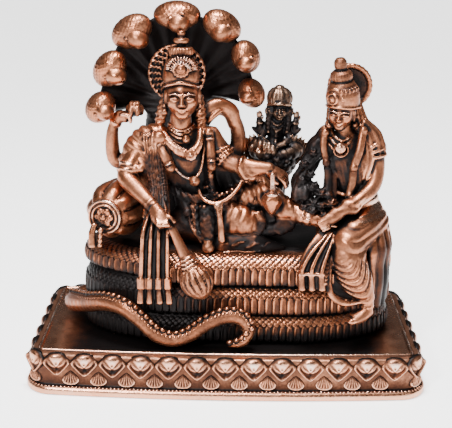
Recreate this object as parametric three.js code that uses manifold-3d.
// A small cast copper-finished group: a four-armed reclining god on a three-coil serpent couch under
// seven hooded heads, a goddess seated at his feet and a small god on a lotus, on a lotus-petal plinth.
// Millimetres. Origin at the centre of the plinth's underside, +X to the viewer's right, +Y away from
// the viewer, +Z up.
import * as THREE from 'three';
import { mergeVertices } from 'three/addons/utils/BufferGeometryUtils.js';
import Module from 'manifold-3d';

const wasm = await Module();
wasm.setup();

// Clear space kept between two pieces that rest on each other.
const GAP = 0.3;

// Plinth
const PLINTH_LENGTH = 120;
const PLINTH_DEPTH = 60;
const PLINTH_TOP = 12.6;
const LIP_TOP = 13;
const PLINTH_BOW = 3;
const PLINTH_CORNER = 8;
const TOP_INSET = 5;
const WALL_INSET = 2.1;
const PETALS_LONG = 13;
const PETALS_SHORT = 5;
const PETAL_WIDTH = 8.2;
const PETAL_HEIGHT = 6.3;
const PETAL_MIDDLE_Z = 9.2;
const PETAL_DEPTH = 1.1;

// Serpent couch
const COUCH_CENTRE = [3.2, 0.5];
const COUCH_HALF_X = 47.8;
const COUCH_HALF_Y = 21;
const COUCH_CORNER = [32, 20.5];
const COIL_COUNT = 3;
const COIL_PITCH = 9.05;
const COUCH_BOTTOM = PLINTH_TOP + GAP;
const BED_TOP = 41;

// Serpent hood: centre, half width, half height and lean of each head, from left to right
const HEADS = [
  { at: [-38.9, 0, 80.6], wide: 4.2, tall: 5.4, roll: 38 },
  { at: [-35.4, 1, 91.9], wide: 4.9, tall: 6, roll: 32 },
  { at: [-28.7, 2, 103.2], wide: 5.8, tall: 5.4, roll: 24 },
  { at: [-15.6, 2, 107], wide: 6.9, tall: 4.9, roll: 0 },
  { at: [-3.2, 2, 104.3], wide: 5.4, tall: 5.2, roll: -14 },
  { at: [4, 2, 95.4], wide: 4.1, tall: 5.1, roll: -24 },
  { at: [6.4, 3, 85], wide: 4, tall: 4.6, roll: -34 },
];
const HOOD_ROOT = [[-23.5, 8.6, 76.5], [-8.5, 8.6, 78.5]];
const HOOD_BELLY = 6;
const HOOD_WALL = 2.6;
const NECK_RADIUS = 2.5;

// Reclining god
const HEAD_V = [-14.7, -6.8, 84.6];
const CROWN_BASE_V = 88.6;
const HALO_V = [-15.8, -1.2, 91.7];
const HALO_RADIUS_V = 9;
const MACE_TOP = [-17.6, -22.2, 50.4];
const MACE_END = [-6, -25.6, 30.2];

// Seated goddess
const HEAD_L = [32.6, -8, 81.8];
const CROWN_BASE_L = 84.6;
const HALO_L = [35.4, -2.4, 88.6];
const HALO_RADIUS_L = 6.8;

// Small god on the lotus
const LOTUS_B = [14.2, 7.5, 58.4];

const vector = (p) => new THREE.Vector3(p[0], p[1], p[2]);
const radians = (degrees) => (degrees * Math.PI) / 180;

// A closed solid made from a three.js geometry, with its faces turned outwards.
function solid(geometry) {
  const bare = geometry.clone();
  bare.deleteAttribute('normal');
  bare.deleteAttribute('uv');
  const merged = mergeVertices(bare, 1e-4);
  const spot = merged.getAttribute('position');
  const index = merged.index.array;
  const corners = [];
  let volume = 0;
  const [a, b, c] = [new THREE.Vector3(), new THREE.Vector3(), new THREE.Vector3()];
  for (let i = 0; i < index.length; i += 3) {
    const [p, q, r] = [index[i], index[i + 1], index[i + 2]];
    if (p === q || q === r || r === p) continue;
    a.fromBufferAttribute(spot, p);
    b.fromBufferAttribute(spot, q);
    c.fromBufferAttribute(spot, r);
    volume += a.dot(b.cross(c));
    corners.push(p, q, r);
  }
  if (volume < 0) corners.reverse();
  const shell = { numProp: 3, vertProperties: spot.array, triVerts: new Uint32Array(corners) };
  return new wasm.Manifold(new wasm.Mesh(shell));
}

const join = (solids) => wasm.Manifold.union(solids);

// Moves every vertex of a geometry by a rule that takes and returns a point.
function reshape(geometry, rule) {
  const spot = geometry.getAttribute('position');
  const point = new THREE.Vector3();
  for (let i = 0; i < spot.count; i += 1) {
    point.fromBufferAttribute(spot, i);
    const moved = rule(point);
    spot.setXYZ(i, moved.x, moved.y, moved.z);
  }
  return geometry;
}

// Turns a geometry by degrees about X, Y and Z, then sets it at a point.
function placed(geometry, at, turn = [0, 0, 0]) {
  const angles = new THREE.Euler(radians(turn[0]), radians(turn[1]), radians(turn[2]));
  const matrix = new THREE.Matrix4().makeRotationFromEuler(angles);
  matrix.setPosition(at[0], at[1], at[2]);
  return geometry.applyMatrix4(matrix);
}

// An oval ball.
function ball(at, radii, { turn, around = 8, down = 6 } = {}) {
  const geometry = new THREE.SphereGeometry(1, around, down);
  geometry.rotateX(Math.PI / 2);
  geometry.scale(radii[0], radii[1], radii[2]);
  return solid(placed(geometry, at, turn));
}

// A turned piece: its profile runs from the axis back to the axis as [radius, height]. Where flutes
// are cut, every second line of its vertices is drawn in, and the lines are a multiple of four.
function turned(profile, around, at, turn, flute = 0) {
  const points = profile.map(([radius, height]) => new THREE.Vector2(radius, height));
  const geometry = new THREE.LatheGeometry(points, around).rotateX(Math.PI / 2);
  reshape(geometry, (p) => {
    const line = Math.round((Math.atan2(p.y, p.x) * around) / (Math.PI * 2));
    const ridge = line % 2 === 0 ? 1 : 1 - flute;
    return new THREE.Vector3(p.x * ridge, p.y * ridge, p.z);
  });
  return solid(placed(geometry, at, turn));
}

// A size listed at even steps along a path, read at any place on it.
function sizeAlong(sizes, t) {
  const place = Math.min(Math.max(t, 0), 1) * (sizes.length - 1);
  const before = Math.min(Math.floor(place), sizes.length - 2);
  const part = place - before;
  const [from, to] = [sizes[before], sizes[before + 1]].map((s) => (Array.isArray(s) ? s : [s, s]));
  return from.map((value, i) => value + (to[i] - value) * part);
}

// Corners of a unit section: an oval with the stated number of sides.
function oval(sides) {
  return Array.from({ length: sides }, (_, i) => {
    const angle = (i / sides) * Math.PI * 2;
    return [Math.cos(angle), Math.sin(angle)];
  });
}

// Corners of a unit section with pleats: ridges along its front, flat behind.
function pleated(count) {
  const front = Array.from({ length: 2 * count + 1 }, (_, i) => [i / count - 1, i % 2 === 0 ? 0.1 : 1]);
  return [...front, [0.9, -0.8], [-0.9, -0.8]];
}

// A limb, strap or scarf: a section, [wide, deep] at each point, swept along a curve through the
// points. Its depth is measured along the direction called across.
function limb(points, sizes, options = {}) {
  const { steps = 5, across = [0, -1, 0], grow = 0, dome = 0.6, fold } = options;
  const section = options.section || oval(options.sides || 6);
  const curve = new THREE.CatmullRomCurve3(points.map(vector), false, 'centripetal');
  const facing = vector(across);
  const geometry = new THREE.CylinderGeometry(1, 1, 1, section.length, steps);
  reshape(geometry, (p) => {
    const t = Math.min(Math.max(0.5 - p.y, 0), 1);
    const along = curve.getTangent(t);
    const deepWay = facing.clone().addScaledVector(along, -facing.dot(along)).normalize();
    const wideWay = new THREE.Vector3().crossVectors(along, deepWay);
    const [wide, deep] = sizeAlong(sizes, t);
    const turn = Math.atan2(p.x, p.z) / (Math.PI * 2);
    const corner = section[(Math.round(turn * section.length) + section.length) % section.length];
    const swell = fold ? fold(Math.atan2(corner[1], corner[0]), t) : 1;
    const centre = curve.getPoint(t);
    if (Math.hypot(p.x, p.z) < 0.5) {
      const out = (t < 0.5 ? -1 : 1) * (dome * Math.min(wide, deep) + grow);
      return centre.addScaledVector(along, out);
    }
    centre.addScaledVector(wideWay, corner[0] * (wide * swell + grow));
    return centre.addScaledVector(deepWay, corner[1] * (deep * swell + grow));
  });
  return solid(geometry);
}

// Points of a rounded rectangle, in order round it. Each long side has the stated number of steps.
function roundedPlan(halfX, halfY, [radiusX, radiusY], cornerSteps, sideSteps) {
  const plan = [];
  for (let corner = 0; corner < 4; corner += 1) {
    const right = corner === 0 || corner === 3 ? 1 : -1;
    const back = corner < 2 ? 1 : -1;
    for (let i = 0; i <= cornerSteps; i += 1) {
      const angle = ((corner + i / cornerSteps) * Math.PI) / 2;
      const x = right * (halfX - radiusX) + radiusX * Math.cos(angle);
      const y = back * (halfY - radiusY) + radiusY * Math.sin(angle);
      plan.push([x, y]);
    }
    const steps = corner % 2 === 0 ? sideSteps : 1;
    const [x, y] = plan[plan.length - 1];
    for (let i = 1; i < steps; i += 1) plan.push([x * (1 - (2 * i) / steps), y]);
  }
  return plan;
}

// A solid whose level sections are plans, one for each [inset, height] of its profile.
function stacked(profile, planAt, centre = [0, 0]) {
  const rows = profile.map(([inset, z]) => planAt(inset).map(([x, y]) => [x, y, z]));
  const around = rows[0].length;
  const geometry = new THREE.CylinderGeometry(1, 1, 1, around, rows.length - 1);
  reshape(geometry, (p) => {
    const row = rows[Math.round((p.y + 0.5) * (rows.length - 1))];
    if (Math.hypot(p.x, p.z) < 0.5) return new THREE.Vector3(centre[0], centre[1], row[0][2]);
    const turn = Math.atan2(p.x, p.z) / (Math.PI * 2);
    const [x, y, z] = row[(Math.round(turn * around) + around) % around];
    return new THREE.Vector3(x + centre[0], y + centre[1], z);
  });
  return solid(geometry);
}

// Plinth: moulded body with a roll rim, and a row of petals under its top edge.
const plinthBow = (x, y) => y + (PLINTH_BOW * y * (1 - (x / (PLINTH_LENGTH / 2)) ** 2)) / (PLINTH_DEPTH / 2);

function plinthPlan(inset) {
  const radius = Math.max(PLINTH_CORNER - inset * 1.5, 0.4);
  const plan = roundedPlan(PLINTH_LENGTH / 2 - inset, PLINTH_DEPTH / 2 - inset, [radius, radius], 3, 4);
  return plan.map(([x, y]) => [x, plinthBow(x, y)]);
}

const PLINTH_PROFILE = [
  [0.4, 0], [0, 0.6], [0, 2], [0.5, 2.6], [WALL_INSET, 2.8], [WALL_INSET, 11.9], [WALL_INSET + 0.8, 12.3],
  [TOP_INSET - 0.7, 12.5], [TOP_INSET - 0.5, LIP_TOP], [TOP_INSET, LIP_TOP], [TOP_INSET, PLINTH_TOP],
];

// A petal shaped as a shield with its point down, on a five-sided frustum.
function petal(width, height, depth) {
  const outline = [[0, -0.56], [0.46, -0.04], [0.36, 0.45], [-0.36, 0.45], [-0.46, -0.04]];
  const geometry = new THREE.CylinderGeometry(0.8, 1, 1, outline.length, 1);
  return reshape(geometry, (p) => {
    const reach = Math.hypot(p.x, p.z);
    const out = p.y > 0 ? depth : -0.7;
    if (reach < 0.5) return new THREE.Vector3(0, -out - (p.y > 0 ? 0.5 : 0), 0);
    const turn = Math.atan2(p.x, p.z) / (Math.PI * 2);
    const corner = outline[(Math.round(turn * outline.length) + outline.length) % outline.length];
    return new THREE.Vector3(corner[0] * width * reach, -out, corner[1] * height * reach);
  });
}

// Places round the plinth's wall: the middle of each petal and the way that it faces.
function petalPlaces() {
  const places = [];
  const longPitch = (PLINTH_LENGTH - 2 * PLINTH_CORNER + 4) / PETALS_LONG;
  const shortPitch = (PLINTH_DEPTH - 2 * PLINTH_CORNER - 1) / PETALS_SHORT;
  for (const side of [-1, 1]) {
    for (let i = 0; i < PETALS_LONG; i += 1) {
      const x = (i - (PETALS_LONG - 1) / 2) * longPitch;
      places.push({ x: x * -side, y: side * (PLINTH_DEPTH / 2 - WALL_INSET), face: side < 0 ? 0 : 180 });
    }
    for (let i = 0; i < PETALS_SHORT; i += 1) {
      const y = (i - (PETALS_SHORT - 1) / 2) * shortPitch;
      places.push({ x: side * (PLINTH_LENGTH / 2 - WALL_INSET), y, face: side * 90 });
    }
    for (const end of [-1, 1]) {
      const reach = (PLINTH_CORNER - WALL_INSET) * Math.SQRT1_2;
      const x = end * (PLINTH_LENGTH / 2 - PLINTH_CORNER + reach);
      const y = side * (PLINTH_DEPTH / 2 - PLINTH_CORNER + reach);
      places.push({ x, y, face: (side < 0 ? 45 : 135) * end });
    }
  }
  return places;
}

function plinth() {
  const parts = [stacked(PLINTH_PROFILE, plinthPlan)];
  for (const { x, y, face } of petalPlaces()) {
    const shape = petal(PETAL_WIDTH, PETAL_HEIGHT, PETAL_DEPTH);
    parts.push(solid(placed(shape, [x, plinthBow(x, y), PETAL_MIDDLE_Z], [0, 0, face])));
  }
  return join(parts);
}

// Serpent couch: three stacked coils, each with an upright band of belly plates and a round scaled top.
function couchPlan(inset) {
  const radii = COUCH_CORNER.map((radius) => radius - inset);
  return roundedPlan(COUCH_HALF_X - inset, COUCH_HALF_Y - inset, radii, 5, 1);
}

function couch(grow) {
  const profile = [];
  for (let coil = 0; coil < COIL_COUNT; coil += 1) {
    const foot = COUCH_BOTTOM + coil * COIL_PITCH;
    profile.push([2.6, foot], [0.3, foot + 1.8], [0.3, foot + 5.2], [1.3, foot + 7.6]);
  }
  const crest = COUCH_BOTTOM + COIL_COUNT * COIL_PITCH;
  profile.push([4.2, crest], [6.6, crest - 0.7], [7.8, BED_TOP]);
  const grown = profile.map(([inset, z], i) => {
    const lift = z >= crest - 1 ? grow : 0;
    return [inset - grow, i === 0 ? z - grow : z + lift];
  });
  return stacked(grown, couchPlan, COUCH_CENTRE);
}

// The tail leaves the lowest coil at its left end, climbs over it and curls on the plinth in front.
const TAIL = [
  [-44, 8, 18], [-48.6, 2.5, 17.2], [-42.4, -8.6, 21], [-36.1, -15.6, 24], [-30.9, -19.6, 24.2],
  [-26, -22, 21.6], [-20.8, -23.6, 17.2], [-16, -24, 15.7], [-11.4, -24, 17], [-5.5, -24, 21.2],
  [0.2, -24, 23.6], [4.4, -24.2, 23], [6.7, -24.6, 19.6], [5, -25, 15.6], [1.4, -25, 14.6],
];
const TAIL_RADII = [3.2, 3.2, 2.9, 2.8, 2.7, 2.5, 2.4, 2.3, 2.3, 2.3, 2.3, 2.2, 1.9, 1.5, 0.9];

function tail(grow) {
  return limb(TAIL, TAIL_RADII, { steps: 22, sides: 5, across: [0.2, -1, 0.25], grow });
}

const TRUNK = [[-17, 8.5, 36], [-17, 8.4, 56], [-16.4, 8.8, 72], [-16, 9.8, 86]];
const TRUNK_SIZES = [[10.5, 5], [9, 4.6], [9.6, 4.2], [9, 2.6]];

const trunk = (grow) => limb(TRUNK, TRUNK_SIZES, { sides: 8, steps: 4, grow });

// Web of the hood: a dished fan with a ridge for each neck and a valley between necks.
function hoodWeb() {
  const columns = 2 * HEADS.length;
  const rows = 4;
  const rim = new THREE.CatmullRomCurve3(HEADS.map((head) => vector(head.at)));
  const root = new THREE.LineCurve3(vector(HOOD_ROOT[0]), vector(HOOD_ROOT[1]));
  const geometry = new THREE.BoxGeometry(1, 1, 1, columns, rows, 1);
  reshape(geometry, (p) => {
    const column = Math.round((p.x + 0.5) * columns);
    const s = (column - 1) / (columns - 2);
    const inside = Math.min(Math.max(s, 0), 1);
    const t = p.y + 0.5;
    const end = rim.getPoint(inside).addScaledVector(rim.getTangent(inside), (s - inside) * 24);
    const point = root.getPoint(inside).lerp(end, t);
    point.y += HOOD_BELLY * Math.sin(Math.PI * t);
    const thick = column % 2 === 1 ? NECK_RADIUS : HOOD_WALL / 2;
    point.y += Math.sign(p.z) * thick;
    return point;
  });
  return solid(geometry);
}

// Heads lean forward and down from the rim of the web.
function hood() {
  const heads = HEADS.map(({ at, wide, tall, roll }) => (
    ball(at, [wide, tall + 0.8, tall], { turn: [28, roll, 0], around: 8, down: 5 })));
  return join([hoodWeb(), ...heads]);
}

const serpent = () => join([couch(0), tail(0), trunk(0), hood()]);
const serpentCutter = () => join([couch(GAP), tail(GAP), trunk(GAP)]);

// Reclining god: head, tall crown, halo disc and hair.
function godHead() {
  const [x, y] = HEAD_V;
  const crown = [[0, 0], [5, 0], [6.1, 2.4], [5.8, 6], [3.5, 8.6], [4, 9.4], [4, 11.2], [1.4, 12], [2.5, 13],
    [0, 15.7]];
  const disc = [[0, -0.6], [HALO_RADIUS_V, -0.6], [HALO_RADIUS_V, 0.7], [0, 0.5]];
  return [
    ball(HEAD_V, [4.7, 4.9, 6.1], { around: 8, down: 6 }),
    turned(crown, 8, [x - 0.1, y + 0.2, CROWN_BASE_V], [-3, 0, 0]),
    turned(disc, 12, HALO_V, [90, 0, 0]),
    limb([[x, y + 3.2, 88], [x + 0.2, y + 4, 80], [-14.6, -2.2, 72]], [[5, 3], [5.6, 3], [6.4, 2.6]],
      { steps: 2 }),
    limb([[-14.3, -5.2, 71], [-14.6, -6.4, 80]], [3.2, 2.9], { steps: 1 }),
  ];
}

function godBody() {
  return [
    limb([[-6.2, -3.4, 44], [-8.4, -3.8, 51], [-10.6, -4.4, 58.5], [-13.2, -4.6, 66.5], [-14.4, -4.6, 73]],
      [[10, 6.4], [7.4, 5.4], [6.6, 5], [8.8, 5.8], [7, 4]], { sides: 8, steps: 5 }),
    limb([[-24, -4.8, 70.6], [-14.6, -4.8, 72], [-5.4, -4.4, 73.4]], [3.3, 3.6, 3.2], { steps: 2 }),
    ball([-9, -5, 46.5], [9.5, 8, 5.6], { around: 7, down: 4 }),
    limb([[-19.6, -9.4, 75], [-18, -10.2, 69], [-16.3, -10.6, 63]], [1.2, 1.2, 1.5], { sides: 4, steps: 2 }),
    limb([[-6.7, -7.6, 76], [-5.6, -9, 71], [-4.9, -9, 65.2]], [1.2, 1.2, 1.5], { sides: 4, steps: 2 }),
  ];
}

// Four arms. The front pair rests on the mace and over the raised knee, the rear pair is lifted.
function godArms() {
  return [
    limb([[-24.4, -5.2, 71], [-28, -7.6, 66.8], [-30.2, -10.2, 61.8], [-26.6, -14.4, 58.8],
      [-22.2, -18.6, 55.6], [-19.2, -21.6, 52.2]], [4.1, 3.4, 3.1, 2.4, 1.7, 2.2], { steps: 6 }),
    limb([[-23, -1, 70], [-30.4, 0.6, 64], [-34.6, 1.2, 64], [-35.6, 0.6, 69.5], [-34.9, 0, 75.1],
      [-31.6, -0.6, 78.6]], [2.6, 2.4, 2.3, 2.1, 1.7, 2.2], { sides: 5, steps: 7 }),
    ball([-29.6, -1.4, 82], [3, 2.8, 3.8], { around: 6, down: 4 }),
    limb([[-5.6, -1.4, 72.6], [-1.6, 0.6, 67.2], [1.4, 1.6, 65.6], [2.8, 2, 70.5], [1.8, 1.2, 76.2],
      [-1.6, 0.2, 80.2], [-6, -0.2, 80.6]], [2.6, 2.4, 2.3, 2.1, 1.9, 2.2, 1.4], { sides: 5, steps: 8 }),
    limb([[-5.2, -4.8, 73], [-0.4, -8, 66.4], [6.8, -10.4, 65.4], [13, -11.2, 65.2], [18.8, -11.6, 61.2]],
      [3, 2.6, 2.3, [2.2, 2], [0.8, 1.2]], { steps: 6 }),
    turned([[0, 0], [2.7, 3.4], [2.4, 5.6], [0.9, 6.8], [0.9, 12.4], [0, 12.6]], 6, [12.9, -14.4, 51.8],
      [-4, 0, 0]),
  ];
}

// Folds ring a draped limb at even steps along it.
const folds = (count, depth) => (angle, t) => 1 + depth * Math.cos(Math.PI * 2 * count * t);

// Raised leg from the hip over the knee to the toes that lie in the goddess's lap.
const RAISED_LEG = [[-3, -3, 47.5], [3.2, -4.4, 52.6], [8.9, -5.8, 56.6], [13.2, -7.6, 54.2], [18.6, -10, 52],
  [23.6, -12, 50.6], [29.4, -14, 49]];
const RAISED_LEG_RADII = [6.2, 5.2, 4.7, 4, 3, 1.9, 1.7];

function raisedLeg(grow) {
  return limb(RAISED_LEG, RAISED_LEG_RADII, { sides: 7, steps: 12, fold: folds(4, 0.05), grow });
}

function godLegs() {
  return [
    raisedLeg(0),
    limb([[-8, -7, 47], [1, -10.6, 47.6], [7.8, -12, 47.4], [11.4, -11.4, 46.4]], [5.4, 4.8, 4.3, 3],
      { sides: 6, steps: 6, fold: folds(3, 0.05) }),
    limb([[10, -10, 44.6], [-6, -8, 43.8]], [2.5, 2.6], { steps: 1 }),
    limb([[-12.6, -9.6, 49], [-8.6, -12.8, 46], [-5.4, -14.6, 42.4]], [[2, 1.2], [4.4, 2.2], [1.2, 1.2]],
      { steps: 3 }),
    limb([[-10.4, -8, 60], [-8.4, -12.2, 56], [-3.8, -14.4, 55.3], [1.6, -12.8, 57.6], [4.4, -9.6, 60.4]],
      [0.9, 0.9, 0.9, 0.9, 0.9], { sides: 4, steps: 6 }),
    limb([[-3.4, -14.2, 55], [-2.6, -15.2, 50], [-2.2, -15.4, 44.4]], [[1.1, 0.9], [1, 0.9], [1.1, 0.9]],
      { sides: 4, steps: 2 }),
  ];
}

// Scarf: pleated from the shoulder down beside the chest, then over the edge of the couch.
function scarf() {
  return [
    limb([[-23.4, -7.4, 74], [-22.4, -9.2, 66], [-20.4, -12.4, 58.6], [-20.6, -18.6, 52], [-21, -21.8, 46],
      [-21.3, -22.6, 38], [-21.5, -22.8, 26.6]],
    [[4.6, 1.8], [3.2, 1.6], [2.9, 1.5], [3.6, 1.4], [4.4, 1.4], [5, 1.5], [5.9, 1.6]],
    { section: pleated(4), steps: 6, dome: 0 }),
    limb([[-27.4, -5, 66.4], [-24.6, -5.4, 72.6], [-20, -5.6, 75]], [4.3, 4.4, 2.4], { steps: 2 }),
    limb([[-21, -2.6, 68], [-27.4, -3.4, 58]], [[3.4, 2.4], [4, 3]], { steps: 1 }),
  ];
}

// Mace: a tapering shaft with a fluted bud at its lower end.
function mace() {
  const way = vector(MACE_TOP).sub(vector(MACE_END)).normalize();
  const lean = new THREE.Quaternion().setFromUnitVectors(new THREE.Vector3(0, 0, 1), way);
  const turn = new THREE.Euler().setFromQuaternion(lean);
  const degrees = [turn.x, turn.y, turn.z].map((angle) => THREE.MathUtils.radToDeg(angle));
  const bud = [[0, 0], [1.3, 1.4], [3.8, 2.6], [5.2, 5.4], [4.4, 8.4], [2.2, 10.4], [0, 11]];
  return [
    turned(bud, 16, MACE_END, degrees, 0.1),
    limb([MACE_END, MACE_TOP], [1.6, 2], { steps: 1 }),
  ];
}

// Bolster pillow under his arm, its gathered cover drawn into a disc at the near end.
function pillow() {
  const lobes = (angle, t) => 1 - 0.07 * (1 - t) * Math.cos(angle * 5);
  return [
    limb([[-36, -14.6, 50.6], [-34.4, -11, 51], [-32.6, -4, 51], [-31, 4, 50.8], [-30.4, 7.4, 50.6]],
      [5.4, 8.7, 9.2, 8.8, 6.6], { sides: 10, steps: 4, across: [0, 0, 1], dome: 0.2, fold: lobes }),
    turned([[0, 0], [6.2, 0], [6.2, 1.2], [0, 2.4]], 10, [-36.2, -14.6, 50.3], [90, 0, -13]),
  ];
}

function recliningGod() {
  const parts = [...godHead(), ...godBody(), ...godArms(), ...godLegs(), ...scarf(), ...mace(), ...pillow()];
  return join(parts).subtract(serpentCutter());
}

// Seated goddess
function goddessHead() {
  const [x, y] = HEAD_L;
  const crown = [[0, 0], [4.2, 0], [4.7, 2.4], [3.2, 6], [1.9, 6.8], [3, 7.6], [3, 9.2], [1.4, 10],
    [1.8, 11.6], [0, 13.6]];
  const disc = [[0, -0.5], [HALO_RADIUS_L, -0.5], [HALO_RADIUS_L, 0.6], [0, 0.5]];
  return [
    ball(HEAD_L, [4, 4.4, 5.3], { around: 8, down: 5 }),
    turned(crown, 8, [x + 0.4, y + 0.8, CROWN_BASE_L], [4, -3, 0]),
    turned(disc, 12, HALO_L, [90, 0, -16]),
    limb([[34.6, -3.8, 85], [35.4, -2.8, 78], [36, -2.6, 70]], [[4, 2.6], [5, 2.8], [6.2, 2.8]],
      { steps: 2 }),
    limb([[34.4, -5.6, 72], [33.2, -7.2, 78.6]], [2.7, 2.4], { steps: 1 }),
  ];
}

function goddessBody() {
  return [
    limb([[41, -3.2, 44], [39.6, -3.6, 52], [37.4, -4.4, 59.5], [36, -5.2, 67.5], [35.6, -5, 73]],
      [[8, 6.4], [6.6, 5.4], [5.4, 4.6], [7.2, 5.4], [5.6, 3.6]], { sides: 7, steps: 5 }),
    limb([[28, -4.8, 71.4], [35.4, -5, 72.6], [41.8, -5, 71.8]], [2.8, 3.2, 3], { steps: 2 }),
    limb([[41.8, -5, 71.4], [43.6, -6.4, 65.6], [43, -9, 60], [38.4, -12.4, 56.4], [33.4, -15, 53.6],
      [27.8, -17, 51.2]], [3.2, 2.9, 2.3, 2.1, 1.7, [1.4, 0.9]], { steps: 7 }),
    limb([[27.6, -4.8, 71], [24.4, -5.4, 66], [22.6, -7, 61.6], [25.4, -11, 54.6]], [2.6, 2.3, 2.1, 1.6],
      { sides: 5, steps: 5 }),
    limb([[28.8, -6.8, 75.4], [29.4, -8.4, 67.6]], [1.3, 1.5], { sides: 4, steps: 1 }),
    limb([[38.5, -8.4, 76], [37.2, -9.6, 67], [36.8, -9.2, 58.4]], [1.2, 1.2, 1.4], { sides: 4, steps: 2 }),
  ];
}

function goddessLegs() {
  return [
    ball([43.2, -3.6, 46], [7, 8, 6.8], { around: 7, down: 5 }),
    limb([[43.6, -5, 47], [39.4, -11.6, 46.4], [35.8, -17, 43.6], [36.6, -19, 38], [40.4, -19.4, 32.6],
      [42.4, -19.4, 27.8]], [[6.4, 6], [6, 5.6], [5.2, 4.8], [5, 4.2], [4.4, 3.6], [3.1, 2.9]],
    { sides: 7, steps: 12, fold: folds(4, 0.05) }),
    limb([[38.4, -4, 46], [29.4, -8.6, 45]], [5.4, 3.4], { steps: 1 }),
    limb([[42.8, -19.6, 28.4], [42.2, -20.2, 24.6], [36.6, -21.8, 22.4]], [[1.9, 2], [2.1, 1.9], [1.6, 1.2]],
      { sides: 5, steps: 3 }),
    limb([[31.4, -16, 43], [30.6, -20.2, 36.6], [32.6, -20.6, 30.6], [37.4, -19.8, 27.8], [41, -19, 28.4]],
      [[1.8, 1.1], [2.2, 1.1], [2.4, 1.1], [2.2, 1.1], [1.6, 1]], { sides: 4, steps: 5 }),
    limb([[47.6, -3.4, 45], [48.6, -4, 38.6], [48.4, -5, 33]], [[2.4, 4.4], [2, 4.2], [1.2, 3.2]],
      { sides: 5, steps: 2 }),
  ];
}

function goddessSash() {
  const way = [[33.4, -11.4, 49.6], [29.4, -17.4, 46], [26.6, -21.4, 41], [26, -22.2, 36], [26, -22.2, 31.3]];
  return limb(way, [[1.6, 1.6], [2.4, 1.5], [3.4, 1.4], [4.4, 1.5], [4.8, 1.5]],
    { section: pleated(3), steps: 5, dome: 0, across: [-0.2, -1, 0] });
}

function goddess() {
  const parts = [...goddessHead(), ...goddessBody(), ...goddessLegs(), goddessSash()];
  return join(parts).subtract(join([couch(GAP), raisedLeg(GAP)]));
}

// Small god with several faces, cross-legged on a lotus that rises from the bed on a thick stalk.
function lotusGod() {
  const [x, y, z] = LOTUS_B;
  const lotus = [[0, 0], [3.6, 0], [6.6, 2.6], [8, 5.6], [6.6, 7], [0, 7]];
  const cushion = z + 7;
  const parts = [
    limb([[x - 0.8, y - 0.5, BED_TOP - 2], [x - 0.6, y - 0.3, 50], [x, y, z + 1]], [4.6, 3.6, 4],
      { steps: 2 }),
    turned(lotus, 12, [x, y, z], [0, 0, 0], 0.12),
    limb([[x - 7, y - 1.6, cushion + 1.6], [x, y - 4.2, cushion + 1.2], [x + 7, y - 1.6, cushion + 1.6]],
      [2, 1.8, 2], { steps: 4 }),
    limb([[x, y, cushion - 1], [x + 0.2, y - 0.2, cushion + 5], [x + 0.6, y - 0.4, cushion + 9.6],
      [x + 1.2, y - 0.6, cushion + 13.6]], [[5.4, 4.6], [2.8, 2.4], [3.8, 2.4], [1.8, 1.8]], { steps: 4 }),
    turned([[0, 0], [2, 0], [2.4, 1.6], [1.5, 3.4], [0, 4.6]], 6, [x + 1.6, y - 1, cushion + 16.4]),
  ];
  for (const turn of [-62, 0, 62]) {
    const across = 2.2 * Math.sin(radians(turn));
    const forward = 1.2 * Math.cos(radians(turn));
    const face = [x + 1.4 + across, y - 0.6 - forward, cushion + 14.4];
    parts.push(ball(face, [1.9, 2, 2.6], { around: 5, down: 4 }));
  }
  for (const side of [-1, 1]) {
    const across = x + 0.6 + side * 3.4;
    const shoulder = [across, y - 0.4, cushion + 9.4];
    const elbows = [[across + side * 2.8, y - 0.6, cushion + 7.4], [x + side * 4.8, y - 2.4, cushion + 5.6]];
    const lifted = [shoulder, elbows[0], [across + side * 2.4, y - 1.6, cushion + 12.6]];
    const lowered = [shoulder, elbows[1], [x + side * 2.6, y - 4, cushion + 2.6]];
    for (const way of [lifted, lowered]) parts.push(limb(way, [1.5, 1.3, 1.3], { sides: 4, steps: 2 }));
  }
  return join(parts).subtract(couch(GAP));
}

// Burnished copper finish over a near-black patina, a little redder or darker from piece to piece.
const finish = (color, roughness) => (
  new THREE.MeshStandardMaterial({ color, roughness, metalness: 0.85 }));

const model = new THREE.Group();

function addPiece(name, shape, material) {
  const { vertProperties, triVerts } = shape.getMesh();
  const geometry = new THREE.BufferGeometry();
  geometry.setAttribute('position', new THREE.BufferAttribute(vertProperties, 3));
  geometry.setIndex(new THREE.BufferAttribute(triVerts, 1));
  geometry.computeVertexNormals();
  const mesh = new THREE.Mesh(geometry, material);
  mesh.name = name;
  model.add(mesh);
}

addPiece('plinth', plinth(), finish(0x9a5f45, 0.42));
addPiece('serpent', serpent(), finish(0x8a5238, 0.4));
addPiece('vishnu', recliningGod(), finish(0xa05c3c, 0.36));
addPiece('lakshmi', goddess(), finish(0xa05c3c, 0.36));
addPiece('brahma', lotusGod(), finish(0x4a3430, 0.4));

export default model;
